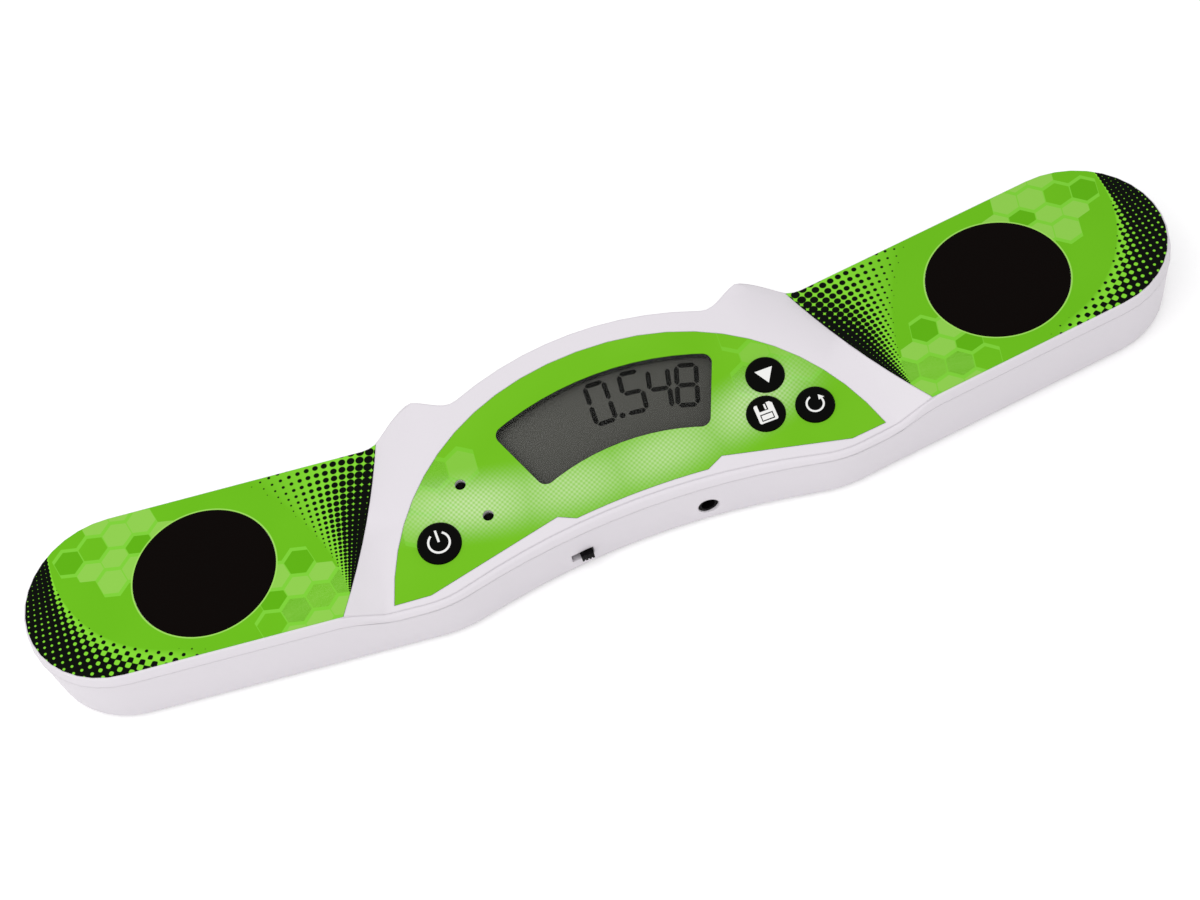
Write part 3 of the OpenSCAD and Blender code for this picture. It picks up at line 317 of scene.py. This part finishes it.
def arm_film():
    """Polycarbonate film of the arms, printed on its back: smooth, with green and black halftone."""
    tree, shader, mm = finish("arm_film_printed", Roughness=0.4, IOR=1.58, Specular_IOR_Level=0.03)
    part = add(tree, "ShaderNodeSeparateXYZ", [mm])
    x = add(tree, MATH, [part.outputs[0]], operation="ABSOLUTE")
    y = add(tree, MATH, [part.outputs[1], ORIGIN_Y], operation="SUBTRACT")
    flat = add(tree, "ShaderNodeCombineXYZ", [x, y, 0.0])
    # inner edge: discs grow from a curve that bends round the pad up to the edge of the film
    edge = add(tree, VECTOR, [flat, (*EDGE_AT, 0.0)], operation="DISTANCE")
    to_edge = add(tree, MATH, [EDGE_R, edge.outputs["Value"]], operation="SUBTRACT")
    curve = add(tree, VECTOR, [flat, (137.8, -23.7, 0.0)], operation="DISTANCE")
    depth = add(tree, MATH, [curve.outputs["Value"], 65.0], operation="SUBTRACT")
    span = add(tree, MATH, [add(tree, MATH, [depth, to_edge], operation="ADD"), 0.3], operation="MAXIMUM")
    share = add(tree, MATH, [add(tree, MATH, [depth, span], operation="DIVIDE"), 0.0], operation="MAXIMUM")
    grown = add(tree, MATH, [share, 0.5], operation="POWER")
    most = add(tree, "ShaderNodeMapRange", [y, -2.0, 19.0, 0.75, 0.51])
    inner_cover = add(tree, MATH, [grown, most], operation="MULTIPLY")
    near_edge = add(tree, "ShaderNodeMapRange", [to_edge, 40.0, 34.0, 0.0, 1.0])
    inner_cover = add(tree, MATH, [inner_cover, near_edge], operation="MULTIPLY")
    inner = halftone(tree, x, y, (76.5, -33.0), 0.0445, inner_cover, discs=True)
    # tip: black outside a circle, sharp at the back and fading towards the front
    away = add(tree, VECTOR, [flat, (104.7, 16.6, 0.0)], operation="DISTANCE")
    past = add(tree, MATH, [away.outputs["Value"], 36.6], operation="SUBTRACT")
    past = add(tree, MATH, [past, 0.0], operation="MAXIMUM")
    soft = add(tree, "ShaderNodeMapRange", [y, 16.0, 2.0, 0.6, 4.5])
    soft = add(tree, MATH, [soft, add(tree, "ShaderNodeMapRange", [y, 2.0, -20.0, 0.0, 10.0])], operation="ADD")
    tip_cover = add(tree, MATH, [add(tree, MATH, [past, soft], operation="DIVIDE"), 0.5], operation="POWER")
    most = add(tree, "ShaderNodeMapRange", [y, 13.0, 0.0, 1.03, 0.92])
    tip_cover = add(tree, MATH, [tip_cover, most], operation="MINIMUM")
    tip_side = add(tree, "ShaderNodeMapRange", [x, 108.0, 118.0, 0.0, 1.0])
    tip_cover = add(tree, MATH, [tip_cover, tip_side], operation="MULTIPLY")
    outer = halftone(tree, x, y, (141.0, 62.0), 0.0272, tip_cover)
    ink = add(tree, MATH, [inner, outer], operation="MAXIMUM")
    both = add(tree, MATH, [inner_cover, tip_cover], operation="MAXIMUM")
    glow = add(tree, "ShaderNodeMapRange", [both, 0.12, 0.4, 0.0, 1.0])
    # honeycomb behind the pad and in front of it, on the side of the panel
    border, lot, middle = honeycomb(tree, x, y, 6.8, math.radians(13))
    behind = add(tree, VECTOR, [middle, (124.0, 15.0, 0.0)], operation="DISTANCE")
    before = add(tree, VECTOR, [middle, (82.0, -19.0, 0.0)], operation="DISTANCE")
    near = add(tree, MATH, [behind.outputs["Value"], before.outputs["Value"]], operation="MINIMUM")
    here = add(tree, MATH, [near, 13.0], operation="LESS_THAN")
    drift = add(tree, "ShaderNodeTexNoise", {"Vector": mm, "Scale": 0.05, "Detail": 1.0})
    green = add(tree, MIX, [drift, srgb("#69ba1a"), srgb("#6fc01f")], data_type="RGBA").outputs["Result"]
    green = cells_over(tree, green, border, lot, here)
    green = add(tree, MIX, [glow, green, srgb(GREEN_BRIGHT)], data_type="RGBA").outputs["Result"]
    # a pale line is left round the pad
    pad = add(tree, VECTOR, [flat, (PAD_X, 0.0, 0.0)], operation="DISTANCE")
    line = add(tree, "ShaderNodeMapRange", [pad.outputs["Value"], PAD_R + 0.55, PAD_R + 0.35, 0, 1])
    green = add(tree, MIX, [line, green, srgb("#a2de62")], data_type="RGBA").outputs["Result"]
    colour = add(tree, MIX, [ink, green, srgb(INK)], data_type="RGBA")
    tree.links.new(colour.outputs["Result"], shader.inputs["Base Color"])
    grain = add(tree, "ShaderNodeTexNoise", {"Vector": mm, "Scale": 2.5, "Detail": 2.0})
    rough = add(tree, "ShaderNodeMapRange", [grain, 0.3, 0.7, 0.36, 0.44])
    tree.links.new(rough.outputs["Result"], shader.inputs["Roughness"])
    return finishes["arm_film_printed"]


arm_film()
print("Arm film uses", len(finishes["arm_film_printed"].node_tree.nodes), "nodes")

# %% [markdown]
# ## Printed film of the panel
# The centre label is the same film. Its green carries a pale shimmer, a band of fine crossed lines
# like woven cloth, brightest below the display and at its two ends. Two line screens, 0.9 mm apart,
# make the weave, and a soft band that bends with the display decides where it shows. A few
# hexagonal cells lie beside the display.

# %% Panel label film
TILT = math.radians(11.3)
PANEL_Z = 22.5
WINDOW_R = 77.0
# the pale glows along the panel: centre, reach in mm and strength
PANEL_GLOWS = (((-38.0, -8.0, 0.0), 30.0, 0.7), ((-14.0, -13.0, 0.0), 30.0, 0.55),
               ((10.0, -13.0, 0.0), 28.0, 0.55), ((36.0, -9.0, 0.0), 24.0, 0.65))
THREAD_PITCH = 0.9


def on_panel(u, v, w):
    """A point of the tilted panel, in metres: u to the right, v up the slope, w out of the panel."""
    return Vector((u, v * math.cos(TILT) - w * math.sin(TILT) + ORIGIN_Y,
                   PANEL_Z + v * math.sin(TILT) + w * math.cos(TILT))) * MM


def panel_film():
    """Polycarbonate film of the panel, printed on its back: green with a pale woven shimmer."""
    tree, shader, mm = finish("panel_film_printed", Roughness=0.4, IOR=1.58, Specular_IOR_Level=0.04)
    part = add(tree, "ShaderNodeSeparateXYZ", [mm])
    x = part.outputs[0]
    y = add(tree, MATH, [part.outputs[1], ORIGIN_Y], operation="SUBTRACT")
    flat = add(tree, "ShaderNodeCombineXYZ", [x, y, 0.0])
    # the shimmer: a band along the front of the panel that rises towards both ends
    square = add(tree, MATH, [x, x], operation="MULTIPLY")
    bend = add(tree, MATH, [square, -0.0032, y], operation="MULTIPLY_ADD")
    off = add(tree, MATH, [add(tree, MATH, [bend, 13.0], operation="ADD")], operation="ABSOLUTE")
    band = add(tree, "ShaderNodeMapRange", [off, 1.0, 11.0, 1.0, 0.0], interpolation_type="SMOOTHSTEP")
    glows = None
    for spot, reach, most in PANEL_GLOWS:
        near = add(tree, VECTOR, [flat, spot], operation="DISTANCE")
        glow = add(tree, "ShaderNodeMapRange", [near.outputs["Value"], 0.0, reach, most, 0.0],
                   interpolation_type="SMOOTHSTEP")
        glows = glow if glows is None else add(tree, MATH, [glows, glow], operation="MAXIMUM")
    shimmer = add(tree, MATH, [band, glows], operation="MULTIPLY")
    weave = None
    for angle in (math.radians(30), math.radians(-60)):
        lean = add(tree, MATH, [x, math.cos(angle)], operation="MULTIPLY")
        run = add(tree, MATH, [y, math.sin(angle), lean], operation="MULTIPLY_ADD")
        phase = add(tree, MATH, [run, 2 * math.pi / THREAD_PITCH], operation="MULTIPLY")
        wave = add(tree, MATH, [phase], operation="SINE")
        weave = wave if weave is None else add(tree, MATH, [weave, wave], operation="ADD")
    thread = add(tree, "ShaderNodeMapRange", [weave, -1.4, 1.4, 0.35, 1.0])
    pale = add(tree, MATH, [shimmer, thread], operation="MULTIPLY")
    border, lot, middle = honeycomb(tree, x, y, 7.4, math.radians(4))
    left = add(tree, VECTOR, [middle, (-47.0, -1.0, 0.0)], operation="DISTANCE")
    right = add(tree, VECTOR, [middle, (45.0, 4.0, 0.0)], operation="DISTANCE")
    near = add(tree, MATH, [left.outputs["Value"], right.outputs["Value"]], operation="MINIMUM")
    here = add(tree, MATH, [add(tree, MATH, [near, 12.0], operation="LESS_THAN"), 0.6], operation="MULTIPLY")
    drift = add(tree, "ShaderNodeTexNoise", {"Vector": mm, "Scale": 0.05, "Detail": 1.0})
    green = add(tree, MIX, [drift, srgb("#6cba18"), srgb("#79c428")], data_type="RGBA").outputs["Result"]
    green = add(tree, MIX, [shimmer, green, srgb("#8ccc44")], data_type="RGBA").outputs["Result"]
    green = cells_over(tree, green, border, lot, here)
    colour = add(tree, MIX, [pale, green, srgb("#dcefc2")], data_type="RGBA")
    tree.links.new(colour.outputs["Result"], shader.inputs["Base Color"])
    grain = add(tree, "ShaderNodeTexNoise", {"Vector": mm, "Scale": 2.5, "Detail": 2.0})
    rough = add(tree, "ShaderNodeMapRange", [grain, 0.3, 0.7, 0.36, 0.44])
    tree.links.new(rough.outputs["Result"], shader.inputs["Roughness"])
    return finishes["panel_film_printed"]


panel_film()
print("Panel film uses", len(finishes["panel_film_printed"].node_tree.nodes), "nodes")

# %% [markdown]
# ## Display: window and liquid crystal cell
# The window is clear acrylic, polished, with a smoky tint from the polariser behind it. The cell
# itself is two sheets of glass under a grey polariser. Its colour is painted a little lighter
# towards the upper left: a painted sheen that stands for studio light reflected by the cell.

# %% Window and cell
# polished acrylic: nearly clear where it faces up, and dark and nearly opaque on its sides
tree, shader, mm = finish("acrylic_clear", Base_Color=srgb("#343532"), IOR=1.49, Specular_IOR_Level=0.5)
ripple = add(tree, "ShaderNodeTexNoise", {"Vector": mm, "Scale": 0.08, "Detail": 1.0})
gloss = add(tree, "ShaderNodeMapRange", [ripple, 0.3, 0.7, 0.06, 0.12])
normal = add(tree, "ShaderNodeNewGeometry").outputs["Normal"]
up = add(tree, VECTOR, [normal, (0.0, -math.sin(TILT), math.cos(TILT))], operation="DOT_PRODUCT")
facing = add(tree, MATH, [up.outputs["Value"]], operation="ABSOLUTE")
cover = add(tree, "ShaderNodeMapRange", [facing, 0.3, 0.6, 0.9, 0.08])
tree.links.new(gloss.outputs["Result"], shader.inputs["Roughness"])
tree.links.new(cover.outputs["Result"], shader.inputs["Alpha"])

# glass cell under a grey polariser: flat grey with a painted sheen, lighter towards the upper left
tree, shader, mm = finish("polariser_grey_painted_sheen", Roughness=0.45, IOR=1.5, Specular_IOR_Level=0.03)
# painted sheen: the grey is lighter towards the upper left, standing for reflected studio light
slant = add(tree, VECTOR, [mm, (0.014, -0.03, 0.0)], operation="DOT_PRODUCT")
shade = add(tree, "ShaderNodeMapRange", [slant.outputs["Value"], -0.6, 0.6, 0.0, 1.0])
tone = add(tree, MIX, [shade, srgb("#62625d"), srgb("#52524d")], data_type="RGBA")
tree.links.new(tone.outputs["Result"], shader.inputs["Base Color"])
# liquid crystal segments: flat black
moulded("segment_black", "#0d0d0c", 0.5, 0.5, 0.001, IOR=1.5, Specular_IOR_Level=0.05)
# screen-printed white ink on the keys
moulded("print_white", "#f2f2f0", 0.5, 0.3, 0.002, IOR=1.5)
print("Display finishes ready")

# %% [markdown]
# ## Dressing the CAD pieces
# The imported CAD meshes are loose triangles, so they would shade in facets. A small Geometry Nodes
# modifier welds the points of each piece and smooths its shading, but keeps every edge that turns
# by more than a set angle sharp. The mesh itself isn't touched.

# %% Smooth shading modifier
SHARP = {"default": 32, "top_cover": 38, "bottom_cover": 38}


def shading_tree():
    """Geometry tree that welds a piece and keeps edges sharp past an angle."""
    group = bpy.data.node_groups.new("weld_and_smooth", "GeometryNodeTree")
    group.interface.new_socket("Geometry", in_out="INPUT", socket_type="NodeSocketGeometry")
    angle = group.interface.new_socket("Sharp angle", in_out="INPUT", socket_type="NodeSocketFloat")
    angle.default_value = math.radians(SHARP["default"])
    group.interface.new_socket("Geometry", in_out="OUTPUT", socket_type="NodeSocketGeometry")
    enter = add(group, "NodeGroupInput")
    weld = add(group, "GeometryNodeMergeByDistance", {"Geometry": enter.outputs[0], "Distance": 0.000002})
    smooth = add(group, "GeometryNodeSetShadeSmooth", {"Geometry": weld, "Shade Smooth": True}, domain="FACE")
    bend = add(group, "GeometryNodeInputMeshEdgeAngle")
    sharp = add(group, "FunctionNodeCompare", [bend.outputs[0], enter.outputs[1]], data_type="FLOAT",
                operation="GREATER_THAN")
    creased = add(group, "GeometryNodeSetShadeSmooth",
                  {"Geometry": smooth, "Selection": sharp, "Shade Smooth": False}, domain="EDGE")
    add(group, "NodeGroupOutput", [creased])
    return group, angle.identifier


smoothing, angle_id = shading_tree()
for name, piece in nodes.items():
    modifier = piece.modifiers.new("weld_and_smooth", "NODES")
    modifier.node_group = smoothing
    modifier[angle_id] = math.radians(SHARP.get(name, SHARP["default"]))
print("Smooth shading on", len(nodes), "pieces")

# %% [markdown]
# ## Which piece wears which finish
# Every CAD node gets one finish by name, and the print shows any that is missing.

# %% Finish of each CAD piece
WEARS = {
    "abs_white_satin": "top_cover bottom_cover battery_door",
    "arm_film_printed": "left_arm_label right_arm_label",
    "panel_film_printed": "centre_label",
    "pad_black_matt": "left_touch_pad right_touch_pad",
    "acrylic_clear": "display_window",
    "polariser_grey_painted_sheen": "lcd_glass",
    "styrene_grey": "lcd_frame",
    "silicone_pink": "lcd_connectors",
    "key_black_polished": "power_button recall_button save_button reset_button",
    "plunger_cream_acetal": "power_plunger recall_plunger save_plunger reset_plunger",
    "switch_dark_nylon": "tact_switches slide_switch",
    "resin_drop_black": "controller_chip",
    "board_green_mask": "main_board io_board",
    "led_dark_epoxy": "hand_leds",
    "polyamide_black": "data_jack slide_lever board_link",
    "zinc_plated_steel": "board_screws case_screws",
    "nickel_plated_steel": "battery_springs battery_tabs",
    "copper_foil": "left_pad_electrode right_pad_electrode",
    "wire_sleeve_grey": "left_sensor_wire right_sensor_wire",
    "wire_sleeve_red": "battery_leads",
    "cell_foil_gold": "battery_cells",
    "foot_rubber": "rubber_feet",
}
dressed = {}
for finish_name, names in WEARS.items():
    for name in names.split():
        for slot in nodes[name].material_slots:
            slot.link = "OBJECT"
            slot.material = finishes[finish_name]
        dressed[name] = finish_name
print("Dressed", len(dressed), "of", len(nodes), "missing:", sorted(set(nodes) - set(dressed)))

# %% [markdown]
# ## Digits of the display
# The cell shows a plain time in seven-segment digits. Each digit follows the window's arc, so it is
# turned a little more than the one before. A segment is a bar with pointed ends. Geometry Nodes
# draw a short and a long bar and a dot, and put a copy on every point of a small cloud. Each point
# carries the kind of bar and the turn that its copy needs.

# %% Digit layout
DIGIT_W, DIGIT_H, STROKE, GAP, DOT_D = 6.2, 12.2, 1.25, 0.35, 1.5
SEGMENTS = {"0": "abcdef", "5": "acdfg", "4": "bcfg", "8": "abcdefg"}
DIGITS = [("0", 2.3, (0.9, 6.9)), ("5", 7.8, (9.5, 6.6)), ("4", 13.5, (16.1, 4.9)), ("8", 18.0, (22.8, 3.3))]
DIGIT_TOP, DOT_AT = -3.07, (4.95, 1.6)
ACROSS, UPRIGHT = DIGIT_W - STROKE - GAP, (DIGIT_H - STROKE) / 2 - GAP


def segment_points():
    """Centre, turn and kind (0 across, 1 upright, 2 dot) of every lit segment, in the panel's plane."""
    w, h = (DIGIT_W - STROKE) / 2, (DIGIT_H - STROKE) / 4
    spots = {"a": (0, 2 * h, 0), "g": (0, 0, 0), "d": (0, -2 * h, 0), "b": (w, h, 1), "c": (w, -h, 1),
             "e": (-w, -h, 1), "f": (-w, h, 1)}
    lit = [(Vector(DOT_AT), 0.0, 2)]
    for digit, degrees, centre in DIGITS:
        lean = -math.radians(degrees)
        for key in SEGMENTS[digit]:
            x, y, kind = spots[key]
            at = Vector(centre) + Matrix.Rotation(lean, 2) @ Vector((x, y))
            lit.append((at, lean + kind * math.pi / 2, kind))
    return lit


lit = segment_points()
print("Lit segments:", len(lit))

# %% [markdown]
# ## Bars and dot
# One tree makes the three forms and copies them onto the points. The result becomes a plain mesh
# and rides on the housing.

# %% Digits by Geometry Nodes


def bar_in(group, length, stroke):
    """A bar with pointed ends: a hexagon whose corners are moved apart."""
    hexagon = add(group, "GeometryNodeMeshCircle", {"Vertices": 6, "Radius": 1.0}, fill_type="NGON")
    at = add(group, "ShaderNodeSeparateXYZ", [add(group, "GeometryNodeInputPosition")])
    reach = add(group, MATH, [length, 0.5], operation="MULTIPLY")
    outward = add(group, MATH, [at.outputs[0]], operation="ABSOLUTE")
    tip = add(group, MATH, [outward, stroke], operation="MULTIPLY")
    along = add(group, MATH, [add(group, MATH, [reach, stroke], operation="SUBTRACT"), tip], operation="ADD")
    x = add(group, MATH, [along, add(group, MATH, [at.outputs[0]], operation="SIGN")], operation="MULTIPLY")
    flat = add(group, MATH, [stroke, 0.5774], operation="MULTIPLY")  # 1 over the root of three
    y = add(group, MATH, [at.outputs[1], flat], operation="MULTIPLY")
    moved = add(group, "ShaderNodeCombineXYZ", [x, y, 0.0])
    return add(group, "GeometryNodeSetPosition", {"Geometry": hexagon, "Position": moved})


def segment_tree():
    """Geometry tree that puts a bar or a dot on every point, turned in the panel's plane."""
    group = bpy.data.node_groups.new("display_segments", "GeometryNodeTree")
    group.interface.new_socket("Points", in_out="INPUT", socket_type="NodeSocketGeometry")
    ids = {}
    for name in ("Stroke", "Across", "Upright", "Dot"):
        ids[name] = group.interface.new_socket(name, in_out="INPUT", socket_type="NodeSocketFloat").identifier
    group.interface.new_socket("Geometry", in_out="OUTPUT", socket_type="NodeSocketGeometry")
    enter = add(group, "NodeGroupInput")
    stroke, across, upright, dot = enter.outputs[1:5]
    kind = add(group, "GeometryNodeInputNamedAttribute", ["kind"], data_type="FLOAT")
    turn = add(group, "GeometryNodeInputNamedAttribute", ["turn"], data_type="FLOAT")
    tilted = add(group, "FunctionNodeEulerToRotation", [(TILT, 0.0, 0.0)])
    spun = add(group, "FunctionNodeEulerToRotation", [add(group, "ShaderNodeCombineXYZ", [0.0, 0.0, turn])])
    facing = add(group, "FunctionNodeRotateRotation", [tilted, spun], rotation_space="LOCAL")
    disc = add(group, "GeometryNodeMeshCircle", {"Vertices": 20, "Radius": dot}, fill_type="NGON")
    joined = add(group, "GeometryNodeJoinGeometry")
    for number, form in enumerate((bar_in(group, across, stroke), bar_in(group, upright, stroke), disc)):
        mine = add(group, "FunctionNodeCompare", {"A": kind, "B": float(number), "Epsilon": 0.1},
                   data_type="FLOAT", operation="EQUAL")
        copies = add(group, "GeometryNodeInstanceOnPoints",
                     {"Points": enter.outputs[0], "Selection": mine, "Instance": form, "Rotation": facing})
        group.links.new(copies.outputs[0], joined.inputs[0])
    real = add(group, "GeometryNodeRealizeInstances", [joined])
    inked = add(group, "GeometryNodeSetMaterial", {"Geometry": real, "Material": finishes["segment_black"]})
    add(group, "NodeGroupOutput", [inked])
    return group, ids


def plain_mesh(obj, name):
    """Turns what an object's modifiers make into a plain mesh of its own."""
    depsgraph = bpy.context.evaluated_depsgraph_get()
    made = bpy.data.meshes.new_from_object(obj.evaluated_get(depsgraph))
    bpy.data.objects.remove(obj)
    made.name = name
    piece = bpy.data.objects.new(name, made)
    bpy.context.scene.collection.objects.link(piece)
    return piece


def point_cloud(name, points, **values):
    """A mesh of loose points that carries named numbers for a geometry tree."""
    mesh = bpy.data.meshes.new(name)
    mesh.from_pydata([tuple(p) for p in points], [], [])
    for key, numbers in values.items():
        mesh.attributes.new(key, "FLOAT", "POINT").data.foreach_set("value", numbers)
    obj = bpy.data.objects.new(name, mesh)
    bpy.context.scene.collection.objects.link(obj)
    return obj


cloud = point_cloud("segment_points", [on_panel(at[0], at[1], DIGIT_TOP) for at, _, _ in lit],
                    turn=[t for _, t, _ in lit], kind=[float(k) for _, _, k in lit])
tree, ids = segment_tree()
modifier = cloud.modifiers.new("segments", "NODES")
modifier.node_group = tree
for name, value in (("Stroke", STROKE), ("Across", ACROSS), ("Upright", UPRIGHT), ("Dot", DOT_D / 2)):
    modifier[ids[name]] = value * MM
digits = plain_mesh(cloud, "display_digits")
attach(digits, "housing")
print("Digits:", len(digits.data.polygons), "faces")

# %% [markdown]
# ## Signs on the keys
# The signs are screen printed on the crowned caps in white. Each is drawn as flat outlines, cut into
# cells of 0.4 mm by planes, and then every corner is lifted to the crown's height, so the print
# follows the cap instead of sinking into it.

# %% Signs on the keys
SIGN_UP, SIGN_CELL = 0.02, 0.4


def crown(d, h=0.8, edge=0.35, rise=0.15):
    """Height of a key's crowned top at a distance from its centre, as the CAD turns it."""
    r = d / 2
    steps = [(0, h), (r / 2, h - rise / 4), (r - edge, h - rise)]

    def height(q):
        for (a, ha), (b, hb) in zip(steps, steps[1:]):
            if q <= b:
                return ha + (hb - ha) * (q - a) / (b - a)
        return steps[-1][1]

    return height


def key_sign(name, outlines, at, height, body):
    """Prints outlines, in millimetres from the key's centre, on the crowned cap."""
    form = bmesh.new()
    for outline in outlines:
        face = form.faces.new([form.verts.new((x, y, 0)) for x, y in outline])
        face.normal_update()
        if face.normal.z < 0:
            face.normal_flip()
    for axis in ((1, 0, 0), (0, 1, 0)):
        for i in range(-12, 13):
            everything = form.verts[:] + form.edges[:] + form.faces[:]
            bmesh.ops.bisect_plane(form, geom=everything, plane_co=[c * i * SIGN_CELL for c in axis],
                                   plane_no=axis)
    for vert in form.verts:
        vert.co = on_panel(at[0] + vert.co.x, at[1] + vert.co.y, height(vert.co.xy.length) + SIGN_UP)
    mesh = bpy.data.meshes.new(name)
    form.to_mesh(mesh)
    form.free()
    mesh.materials.append(finishes["print_white"])
    sign = bpy.data.objects.new(name, mesh)
    bpy.context.scene.collection.objects.link(sign)
    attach(sign, body)
    return len(mesh.polygons)


def arc_strip(radius, stroke, start, stop, steps=24):
    """A curved stroke as a row of quads."""
    angles = [math.radians(start + (stop - start) * i / steps) for i in range(steps + 1)]
    inner, outer = radius - stroke / 2, radius + stroke / 2
    return [[(inner * math.cos(a), inner * math.sin(a)), (outer * math.cos(a), outer * math.sin(a)),
             (outer * math.cos(b), outer * math.sin(b)), (inner * math.cos(b), inner * math.sin(b))]
            for a, b in zip(angles, angles[1:])]


def block(x0, y0, x1, y1):
    """A rectangle as an outline."""
    return [(x0, y0), (x1, y0), (x1, y1), (x0, y1)]


WINDOW_END = WINDOW_R * math.sin(math.radians(22.3))
KEYS = {"power": (2 - WINDOW_END - 21.4, -14.9, 10.8), "recall": (2 + WINDOW_END + 10.1, -2.9, 9.6),
        "save": (2 + WINDOW_END + 6.4, -12.8, 9.6), "reset": (2 + WINDOW_END + 18.5, -15.1, 9.6)}
SIGNS = {
    "power": arc_strip(2.65, 0.55, 123, 417, 32) + [block(-0.28, 0.1, 0.28, 3.3)],
    "recall": [[(-2.3, 1.3), (0, -2.65), (2.35, 1.3)]],
    "save": [[(-2.4, -2.3), (-2.1, -2.6), (2.1, -2.6), (2.4, -2.3), (2.4, -2.1), (-2.4, -2.1)],
             block(-2.4, -2.1, -1.65, -0.2), block(1.65, -2.1, 2.4, -0.2), block(-2.4, -0.2, 2.4, 0.55),
             block(-1.4, -1.8, 1.4, -0.5),
             [(-2.4, 0.55), (-1.45, 0.55), (-1.45, 2.6), (-2.1, 2.6), (-2.4, 2.3)],
             [(0.9, 0.55), (2.4, 0.55), (2.4, 2.0), (1.8, 2.6), (0.9, 2.6)], block(0.1, 0.8, 0.55, 2.3)],
    "reset": arc_strip(2.1, 0.5, 105, 385, 32) + [[(1.2, 0.6), (2.75, 0.95), (1.5, 2.05)]],
}
for name, (u, v, d) in KEYS.items():
    print(name, "sign:", key_sign(name + "_sign", SIGNS[name], (u, v), crown(d), name + "_key"), "faces")

# %% [markdown]
# ## Studio
# The timer lies on a plain pale table under one large soft lamp and an even white surround. The
# table and the surround look white to the camera and in reflections, but light the object no
# more than a grey card would, so the plastic keeps its colour.

# %% Studio
LAMP_W, SURROUND = 4.1, 0.68
stage_mesh = bpy.data.meshes.new("table_top")
stage_mesh.from_pydata([(-3, -3, 0), (3, -3, 0), (3, 3, 0), (-3, 3, 0)], [], [(0, 1, 2, 3)])
table_top = bpy.data.objects.new("table_top", stage_mesh)
bpy.context.scene.collection.objects.link(table_top)


def seen_ray(tree):
    """1 for rays that the camera, a reflection or a clear piece sends, 0 for light on surfaces."""
    path = add(tree, "ShaderNodeLightPath")
    any_two = add(tree, MATH, [path.outputs["Is Camera Ray"], path.outputs["Is Glossy Ray"]],
                  operation="MAXIMUM")
    return add(tree, MATH, [any_two, path.outputs["Is Transmission Ray"]], operation="MAXIMUM")


# matt white paper: diffuse only, so it takes the object's soft shadow
paper = bpy.data.materials.new("white_paper_table")
paper.use_nodes = True
tree = paper.node_tree
tree.nodes.clear()
matt = add(tree, "ShaderNodeBsdfDiffuse", {"Color": srgb("#f4f4f4")})
glow = add(tree, "ShaderNodeEmission", {"Color": srgb("#ffffff"), "Strength": 0.25})
lit = add(tree, "ShaderNodeMixShader", [0.0, matt, add(tree, "ShaderNodeAddShader", [matt, glow])])
tree.links.new(seen_ray(tree).outputs[0], lit.inputs[0])
add(tree, "ShaderNodeOutputMaterial", [lit])
stage_mesh.materials.append(paper)

world = bpy.data.worlds.new("white_surround")
bpy.context.scene.world = world
world.use_nodes = True
tree = world.node_tree
tree.nodes.clear()
strength = add(tree, "ShaderNodeMapRange", [seen_ray(tree), 0.0, 1.0, SURROUND, 1.0])
sky = add(tree, "ShaderNodeBackground", {"Color": srgb("#ffffff"), "Strength": strength})
add(tree, "ShaderNodeOutputWorld", [sky])

lamp = bpy.data.lights.new("softbox", "AREA")
lamp.shape = "RECTANGLE"
lamp.size, lamp.size_y = 1.0, 0.8
lamp.energy = LAMP_W
softbox = bpy.data.objects.new("softbox", lamp)
softbox.location = (-0.35, -0.3, 0.85)
softbox.rotation_euler = (Vector((0, 0, 0)) - softbox.location).to_track_quat("-Z", "Y").to_euler()
softbox.visible_glossy = False
bpy.context.scene.collection.objects.link(softbox)
print("Studio lit")
